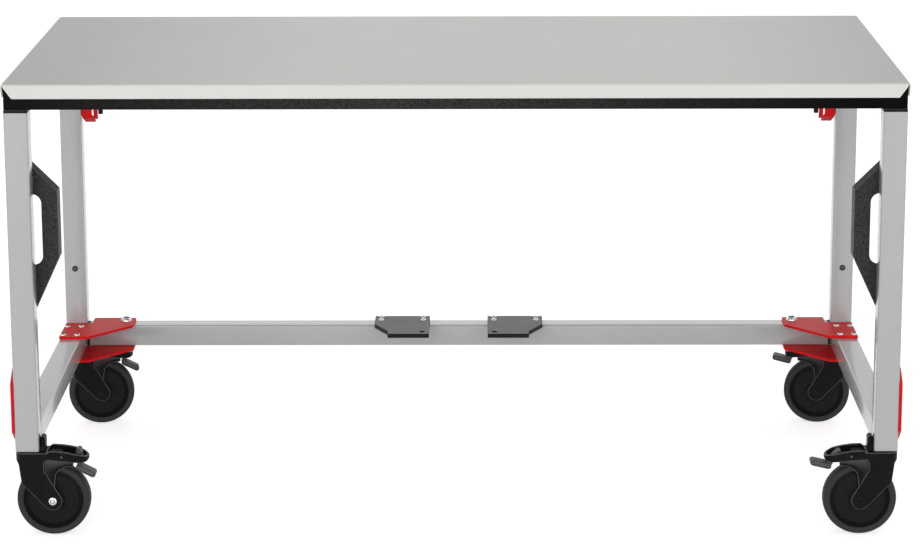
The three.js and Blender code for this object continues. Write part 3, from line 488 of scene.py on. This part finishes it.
def button_head(radius, height, shank=0.0, shank_radius=0.0, plain=False):
    """Rows of a button head about +Z: a shank where one is given, a quarter-ellipse dome, and on a head that
    isn't plain a flat crown and a hexagonal socket with its floor. A ring at angle a on the hexagon has
    the radius cos(30) / cos(a mod 60 - 30) times the corner radius."""
    turn = np.linspace(0.0, 2 * pi, HEAD_STEPS, endpoint=False)
    circle = np.stack([np.cos(turn), np.sin(turn)], -1)
    hexagon = circle * (cos(pi / 6) / np.cos(turn % (pi / 3) - pi / 6))[:, None]
    dome = np.linspace(0.0, pi / 2 if plain else DOME_SHARE * pi / 2, DOME_STEPS)
    socket = SOCKET_SHARE * radius
    floor_level = height * (1 - SOCKET_DEPTH)
    rings = [(circle, 0.0, -shank)]
    if shank:
        chamfer = SHANK_CHAMFER * shank_radius
        rings += [(circle, shank_radius - chamfer, -shank), (circle, shank_radius, chamfer - shank),
                  (circle, shank_radius, 0.0)]
    rings += [(circle, radius * cos(a), height * sin(a) / sin(dome[-1])) for a in dome]
    if not plain:
        rings += [(circle, CROWN_RIM * socket, height), (hexagon, socket, height),
                  (hexagon, SOCKET_TAPER * socket, floor_level), (hexagon, 0.0, floor_level)]
    rows = [np.column_stack([ring * size, np.full(HEAD_STEPS, level)]) for ring, size, level in rings]
    return np.array(rows)


def turned_to(points, normal):
    """Points about +Z turned so that +Z lies along a unit normal, by an orthonormal frame around it."""
    normal = np.array(normal, float)
    helper = np.array((0.0, 1.0, 0.0)) if abs(normal[1]) < NEARLY_ALONG else UP
    first = np.cross(helper, normal)
    first /= np.linalg.norm(first)
    return points @ np.array([first, np.cross(normal, first), normal])


def add_screw(name, place, normal, *stands_for, body="table", material=plated_steel, **head):
    """One screw on a surface at place, facing along normal, its form given as button_head takes it."""
    rows = turned_to(button_head(**head), normal) + np.array(place)
    faces = grid_faces(len(rows), HEAD_STEPS)
    new_piece(name, rows, faces, material, body, "bright_steel", *stands_for, sharp=50.0)


for side, sign in zip(SIDES, (-1, 1)):
    low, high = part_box(f"rear_{side}_leg")
    inner = high.x if sign < 0 else low.x
    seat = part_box(f"upper_gusset_{side}")[1].z - PLATE_SINK
    for index, (outward, forward) in enumerate(GUSSET_SCREW_PLACES):
        place = (inner + sign * outward, low.y - forward, seat)
        add_screw(f"gusset_screw_{side}_{index}", place, UP, **GUSSET_SCREW)
    bolt_low, bolt_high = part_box(f"clamp_bolt_{side}")
    place = ((bolt_low.x + bolt_high.x) / 2, (bolt_low.y + bolt_high.y) / 2, seat)
    add_screw(f"clamp_bolt_head_{side}", place, UP, f"clamp_bolt_{side}", shank=seat - bolt_low.z,
              **CLAMP_BOLT)
    place = ((low.x + high.x) / 2, low.y + PLATE_SINK, LEG_SCREW_LEVEL)
    add_screw(f"leg_screw_{side}", place, (0, -1, 0), material=rivet_steel, **LEG_SCREW)
    plate_low, plate_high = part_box(f"bracket_plate_{side}")
    for index, inset in enumerate(BRACKET_SCREW_INSETS):
        across = plate_high.x - inset if sign < 0 else plate_low.x + inset
        for row, backset in enumerate(BRACKET_SCREW_BACKSETS):
            place = (across, plate_high.y - backset, plate_high.z - PLATE_SINK)
            add_screw(f"bracket_screw_{side}_{index}_{row}", place, UP, **BRACKET_SCREW)


# Wheels: a moulded plastic hub disc with a dark rubber tyre pressed around it.
# Both are turned shapes: half a section, as radius and offset along the axle, is mirrored and spun.

WHEEL_STEPS = 96
TYRE_HALF = ((0.0511, -0.0138), (0.0525, -0.0147), (0.0545, -0.0158), (0.0572, -0.0160), (0.0592, -0.0153),
             (0.0606, -0.0138), (0.0616, -0.0115), (0.0622, -0.0085), (0.0624, -0.0050), (0.0625, 0.0))
HUB_HALF = ((0.0053, -0.0182), (0.0170, -0.0182), (0.0180, -0.0179), (0.0186, -0.0170), (0.0189, -0.0148),
            (0.0200, -0.0136), (0.0280, -0.0128), (0.0410, -0.0128), (0.0422, -0.0126), (0.0434, -0.0119),
            (0.0460, -0.0098), (0.0480, -0.0088), (0.0494, -0.0086), (0.0500, -0.0090), (0.0503, -0.0100),
            (0.0504, -0.0126), (0.0514, -0.0130))

tyre_rubber = finish("tyre_rubber", (0.036, 0.036, 0.0355), 0.62, mottle=0.3, speckle=0.9, spread=0.15,
                     grain=1200.0, relief=0.00006, specular=0.15)
hub_plastic = finish("hub_plastic", (0.0085, 0.0085, 0.0085), 0.55, mottle=0.4, speckle=4.0, grain=1100.0,
                     relief=0.00006, specular=0.09)


def spun(half, joint):
    """Rows of a turned shape on a joint's axis: the half section and its mirror image, where each point
    (radius, offset) becomes a circle about the axis."""
    half = np.array(half)
    section = np.concatenate([half, half[::-1] * (1, -1)])
    turn = np.linspace(0.0, 2 * pi, WHEEL_STEPS, endpoint=False)
    circles = section[:, None, :1] * np.stack([np.cos(turn), np.sin(turn)], -1)
    offsets = np.broadcast_to(section[:, None, 1:], (len(section), WHEEL_STEPS, 1))
    return turned_to(np.concatenate([circles, offsets], -1), joint["axis"]) + np.array(joint["pos_m"])


joints = {joint["name"]: joint for joint in frame["joints"]}
for corner in CORNERS:
    for part, half, material, slot in (("tyre", TYRE_HALF, tyre_rubber, "grey_rubber"),
                                       ("hub", HUB_HALF, hub_plastic, "wheel_plastic")):
        rows = spun(half, joints[f"{corner}_roll"])
        faces = grid_faces(len(rows), WHEEL_STEPS, close_rows=True)
        new_piece(f"{corner}_{part}", rows, faces, material, f"{corner}_wheel", slot,
                  f"{corner}_wheel_{part}")


# Caster forks, stems and brake levers: moulded black forks that turn on a stem in the leg, with a grey tread
# lever on a pin in the arm and a brake block in the arm's tray. A dull rivet shows on each side of the arm.
# Places in a fork are (forward, upward): along its trail from the kingpin, and up from the floor.

LEVEL = np.array((1.0, 1.0, 0.0))
MOULDED_EDGE = 0.0011
FORK_WELD = 0.0006
SHARP_REACH = -0.004
SHARP_FLOOR = 0.112
SHARP_CEILING = 0.141
STEM_EDGE = 0.0026
COVE_EDGE = ((0.0765, 0.1304), (0.0640, 0.1318), (0.0500, 0.1334), (0.0400, 0.1344), (0.0353, 0.1345),
             (0.0322, 0.1335), (0.0298, 0.1310), (0.0288, 0.1270), (0.0288, 0.1190), (0.0288, 0.1165),
             (0.0324, 0.1097), (0.0380, 0.1001), (0.0446, 0.0888))
COVE_FOOT = ((0.0765, 0.1275), (0.0640, 0.1258), (0.0545, 0.1222), (0.0485, 0.1188), (0.0455, 0.1168),
             (0.0432, 0.1150), (0.0414, 0.1132), (0.0398, 0.1115), (0.0385, 0.1100), (0.0383, 0.1080),
             (0.0390, 0.1050), (0.0415, 0.0985), (0.0450, 0.0888))
COVE_PAINTED_LIGHT = (0.8, 1.0, 1.0, 1.0, 0.9, 0.8, 0.65, 0.5, 0.3, 0.25, 0.15, 0.05, 0.0)
COVE_FRONT = 0.0238
COVE_BACK = 0.0213
COVE_CLOSING = 0.0203
COVE_STEPS = 13
BAR_STEPS = 10
RIM_STEPS = 5
RIM_ROUNDING = 0.0022
LEVER_WIDTH = 0.022
LEVER_PIN = (0.0, 0.0)
PAD_END = (-0.0025, 0.0135)
LINK_END = (-0.003, -0.015)
TOE_END = (0.0206, -0.0270)
LEVER_BARS = ((LEVER_PIN, PAD_END, 0.009), (LEVER_PIN, LINK_END, 0.007), (LINK_END, TOE_END, 0.010))
STEM_TAB = {"start": (0.0250, 0.1525), "end": (0.0252, 0.1680), "thickness": 0.0094, "width": 0.022}
TAB_FACING = {"front_left": (1, 0, 0), "front_right": (-1, 0, 0), "rear_left": (0, 1, 0),
              "rear_right": (0, 1, 0)}
BRAKE_BLOCK = {"start": (0.0400, 0.1390), "end": (0.0520, 0.1385), "thickness": 0.0130, "width": 0.0392}
ARM_HALF_WIDTH = 0.024
RIVET = {"radius": 0.0023, "height": 0.001}
RIVET_REACH = 0.058
RIVET_LEVEL = 0.140

fork_plastic = finish("fork_plastic", (0.0060, 0.0060, 0.0058), 0.4, mottle=0.5, speckle=4.0, grain=1300.0,
                      relief=0.00008, specular=0.07)
# painted highlight: the forks' rounded edges are paler and glossier, standing in for light caught along them
fork_edge_plastic = finish("fork_edge_plastic", (0.075, 0.075, 0.073), 0.32, mottle=0.6, speckle=1.5,
                           grain=1300.0, specular=0.4)
fork_cove_plastic = finish("fork_cove_plastic", (0.0065, 0.0065, 0.0062), 0.4, mottle=0.5, speckle=2.0,
                           grain=1300.0, relief=0.00005, specular=0.07)
# painted light: the coves are lightened along their edge by a point attribute, standing in for the floor's
# reflection under the arm
painted_light_value = fork_cove_plastic.node_tree.nodes.new("ShaderNodeAttribute")
painted_light_value.attribute_name = "painted_light"
blend_over(fork_cove_plastic, painted_light_value.outputs["Fac"], (0.095, 0.095, 0.092))
lever_plastic = finish("lever_plastic", (0.085, 0.084, 0.081), 0.5, mottle=0.3, speckle=1.0, grain=1300.0,
                       relief=0.00005, specular=0.3)


def keeps_sharp(swivel, trail):
    """A test for points at the back of a fork, where the head's chamfer runs out in edges too short to
    round."""
    return lambda point: ((np.array(point) - swivel) @ trail < SHARP_REACH
                          and SHARP_FLOOR < point.z < SHARP_CEILING)


def set_along(rows, trail, place):
    """Rows of (forward, upward, aside) carried to a place, with forward along a level direction."""
    return rows[..., :1] * trail + rows[..., 2:] * np.cross(UP, trail) + rows[..., 1:2] * UP + place


def cove_rows():
    """Rows of the hollow fillet between an arm, its cheek and the web. From a point of the edge to one of the
    foot it runs as a quarter ellipse, edge + (foot - edge) (1 - cos t) in the cheek's plane and
    front - (front - back) sin t across it, with a last point behind the edge to close it."""
    edge, foot = np.array(COVE_EDGE), np.array(COVE_FOOT)
    sweep = np.linspace(0.0, pi / 2, COVE_STEPS)
    hollow = edge[:, None] + (1 - np.cos(sweep))[:, None] * (foot - edge)[:, None]
    aside = np.broadcast_to(COVE_FRONT - (COVE_FRONT - COVE_BACK) * np.sin(sweep), hollow.shape[:2])
    closing = np.concatenate([edge, np.full((len(edge), 1), COVE_CLOSING)], -1)[:, None]
    return np.concatenate([np.concatenate([hollow, aside[..., None]], -1), closing], 1)


def add_coves(corner, trail, foot):
    """Both coves of a fork, with painted light along their edge for the floor's reflection under the arm: the
    point attribute that carries it falls off with the cosine of the sweep."""
    cove = cove_rows()
    count, columns = cove.shape[:2]
    painted_light = np.array(COVE_PAINTED_LIGHT)[:, None] * np.append(np.cos(np.linspace(0.0, pi / 2, COVE_STEPS)), 1.0)
    ends = [range(columns), range((count - 1) * columns, count * columns)]
    for name, aside in (("near", -1), ("far", 1)):
        points = set_along(cove * (1, 1, aside), trail, foot)
        piece = new_piece(f"{corner}_cove_{name}", points, [*grid_faces(count, columns), *ends],
                          fork_cove_plastic, f"{corner}_caster", "black_plastic", sharp=60.0)
        painted_light_layer = piece.data.attributes.new("painted_light", "FLOAT", "POINT")
        painted_light_layer.data.foreach_set("value", painted_light.ravel())


def round_bar(start, end, thickness, width=LEVER_WIDTH):
    """Rows of a bar with round ends in the trail's plane, its rims rounded over: at angle a across the width
    the outline's half thickness is less by r (1 - sin a), and its offset runs out by r (1 - cos a)."""
    start, end = np.array(start), np.array(end)
    heading = np.arctan2(*(end - start)[::-1])
    turn = np.linspace(-pi / 2, pi / 2, BAR_STEPS + 1)
    arc = np.concatenate([heading + turn, heading + turn + pi])
    normals = np.stack([np.cos(arc), np.sin(arc)], -1)
    centres = np.repeat([end, start], BAR_STEPS + 1, axis=0)
    rim = np.linspace(0.0, pi / 2, RIM_STEPS)
    halves = thickness / 2 - RIM_ROUNDING * (1 - np.sin(rim))
    offsets = (width / 2 - RIM_ROUNDING * (1 - np.cos(rim)))[::-1]
    sizes = np.concatenate([[0.0], halves, halves[::-1], [0.0]])
    levels = np.concatenate([[-width / 2], -offsets, offsets[::-1], [width / 2]])
    outline = centres + sizes[:, None, None] * normals
    return np.concatenate([outline, np.broadcast_to(levels[:, None, None], (*outline.shape[:2], 1))], -1)


def add_lever(corner, tread, trail):
    """The lever's bars about its pin, swung up by what its joint can tread down, then set along the trail."""
    bars = [round_bar(*bar) for bar in LEVER_BARS]
    swing = radians(-tread["range_deg"][0])
    turned = np.array([[cos(swing), sin(swing), 0.0], [-sin(swing), cos(swing), 0.0], [0.0, 0.0, 1.0]])
    rows = set_along(np.concatenate(bars) @ turned, trail, np.array(tread["pos_m"]))
    count, columns = bars[0].shape[:2]
    one = grid_faces(count, columns)
    faces = np.concatenate([one + index * count * columns for index in range(len(bars))])
    new_piece(f"{corner}_tread_lever", rows, faces, lever_plastic, f"{corner}_brake", "lever_plastic",
              f"{corner}_brake_lever")


for corner in CORNERS:
    swivel = np.array(joints[f"{corner}_swivel"]["pos_m"])
    trail = (np.array(joints[f"{corner}_roll"]["pos_m"]) - swivel) * LEVEL
    trail /= np.linalg.norm(trail)
    foot = swivel * LEVEL
    softened(f"{corner}_caster_fork", f"{corner}_caster", fork_plastic, MOULDED_EDGE,
             rim=fork_edge_plastic, weld=FORK_WELD, spare=keeps_sharp(swivel, trail))
    softened(f"{corner}_caster_stem", "table", fork_plastic, STEM_EDGE, segments=3)
    add_coves(corner, trail, foot)
    for name, bar, facing, body, material in (
            ("stem_tab", STEM_TAB, TAB_FACING[corner], "table", fork_plastic),
            ("brake_block", BRAKE_BLOCK, trail, f"{corner}_caster", hub_plastic)):
        rows = set_along(round_bar(**bar), np.array(facing), foot)
        new_piece(f"{corner}_{name}", rows, grid_faces(*rows.shape[:2]), material, body, "black_plastic")
    add_lever(corner, joints[f"{corner}_brake_tread"], trail)
    for index, aside in enumerate((-1, 1)):
        flank = aside * np.cross(UP, trail)
        place = foot + trail * RIVET_REACH + flank * (ARM_HALF_WIDTH - PLATE_SINK) + UP * RIVET_LEVEL
        add_screw(f"{corner}_rivet_{index}", place, flank, body=f"{corner}_caster", material=rivet_steel,
                  **RIVET)


# Axles: a bolt through both cheeks of each fork, with a domed head outside each cheek.
# One caster has bright heads, the others have theirs capped in black.

AXLE_RADIUS = 0.005
AXLE_HALF_LENGTH = 0.0243
AXLE_HALF = ((0.0, -AXLE_HALF_LENGTH), (AXLE_RADIUS, -AXLE_HALF_LENGTH))
AXLE_HEAD = {"radius": 0.007, "height": 0.0022}

for corner in CORNERS:
    head_finish = plated_steel if corner == "front_left" else cap_plastic
    roll = joints[f"{corner}_roll"]
    rows = spun(AXLE_HALF, roll)
    new_piece(f"{corner}_axle_shank", rows, grid_faces(len(rows), WHEEL_STEPS), plated_steel,
              f"{corner}_caster", "bright_steel", f"{corner}_wheel_axle")
    for index, aside in enumerate((-1, 1)):
        outward = aside * np.array(roll["axis"])
        place = np.array(roll["pos_m"]) + outward * (AXLE_HALF_LENGTH - PLATE_SINK)
        add_screw(f"{corner}_axle_head_{index}", place, outward, body=f"{corner}_caster",
                  material=head_finish, **AXLE_HEAD)


# Floor and backdrop: a pale matt studio floor that keeps the table's shadow, under an even white surround.
# Both are lifted to white only where the camera or a reflection sees them, not where they light the table.

FLOOR_REACH = 30.0
FLOOR_PALE = (0.9, 0.9, 0.9, 1.0)
FLOOR_ROUGHNESS = 0.9
FLOOR_LIFT = 0.64
SURROUND_LIGHT = 0.45
WHITE = (1.0, 1.0, 1.0, 1.0)


def seen_directly(tree):
    """One where a camera ray or a mirrored ray arrives, and nought elsewhere."""
    ray = tree.nodes.new("ShaderNodeLightPath")
    return math_node(tree, "MAXIMUM", ray.outputs["Is Camera Ray"], ray.outputs["Is Glossy Ray"])


floor_mesh = bpy.data.meshes.new("floor")
floor_corners = [(FLOOR_REACH * x, FLOOR_REACH * y, 0.0) for x, y in ((-1, -1), (1, -1), (1, 1), (-1, 1))]
floor_mesh.from_pydata(floor_corners, [], [(0, 1, 2, 3)])
floor = bpy.data.objects.new("floor", floor_mesh)
scene.collection.objects.link(floor)
floor_paint = bpy.data.materials.new("floor_paint")
floor_paint.use_nodes = True
floor_tree = floor_paint.node_tree
matt = floor_tree.nodes["Principled BSDF"]
matt.inputs["Base Color"].default_value = FLOOR_PALE
matt.inputs["Roughness"].default_value = FLOOR_ROUGHNESS
matt.inputs["Emission Color"].default_value = WHITE
floor_glow = math_node(floor_tree, "MULTIPLY", seen_directly(floor_tree), FLOOR_LIFT)
floor_tree.links.new(floor_glow, matt.inputs["Emission Strength"])
floor_mesh.materials.append(floor_paint)

world = bpy.data.worlds.new("studio")
scene.world = world
world.use_nodes = True
sky = world.node_tree
backdrop = sky.nodes["Background"]
backdrop.inputs["Color"].default_value = WHITE
strength = sky.nodes.new("ShaderNodeMapRange")
strength.inputs["To Min"].default_value = SURROUND_LIGHT
strength.inputs["To Max"].default_value = 1.0
sky.links.new(seen_directly(sky), strength.inputs["Value"])
sky.links.new(strength.outputs["Result"], backdrop.inputs["Strength"])


# Lamps and camera: two broad soft boxes far in front, a weak one behind, and the camera where the photograph
# was taken, looking a little down on the table.

LAMP_AIM = (0.0, 0.0, 0.4)
CAMERA_PLACE = (0.0397, -5.4034, 1.6498)
CAMERA_DOWN = radians(13.31)
CAMERA_TURN = radians(0.369)
CAMERA_ROLL = radians(-0.158)
CAMERA_LENS = 121.3
SENSOR_WIDTH = 36.0


def soft_box(name, place, size, power):
    """A square area lamp at place that faces the table."""
    lamp = bpy.data.lights.new(name, "AREA")
    lamp.size = size
    lamp.energy = power
    box = bpy.data.objects.new(name, lamp)
    scene.collection.objects.link(box)
    towards = np.array(LAMP_AIM) - np.array(place)
    box.location = place
    box.rotation_euler = (np.arctan2(hypot(towards[0], towards[1]), -towards[2]), 0.0,
                          np.arctan2(towards[0], -towards[1]) + pi)


soft_box("key_box", (-4.4, -12.0, 2.8), size=6.0, power=470.0)
soft_box("fill_box", (4.8, -11.6, 2.4), size=6.0, power=340.0)
soft_box("back_box", (0.0, 4.0, 2.2), size=2.4, power=5.0)

eye = bpy.data.cameras.new("camera")
eye.sensor_width = SENSOR_WIDTH
eye.lens = CAMERA_LENS
camera = bpy.data.objects.new("camera", eye)
scene.collection.objects.link(camera)
camera.matrix_world = (Matrix.Translation(CAMERA_PLACE) @ Matrix.Rotation(CAMERA_TURN, 4, "Z")
                       @ Matrix.Rotation(pi / 2 - CAMERA_DOWN, 4, "X") @ Matrix.Rotation(CAMERA_ROLL, 4, "Z"))
scene.camera = camera
scene.view_settings.view_transform = "Standard"
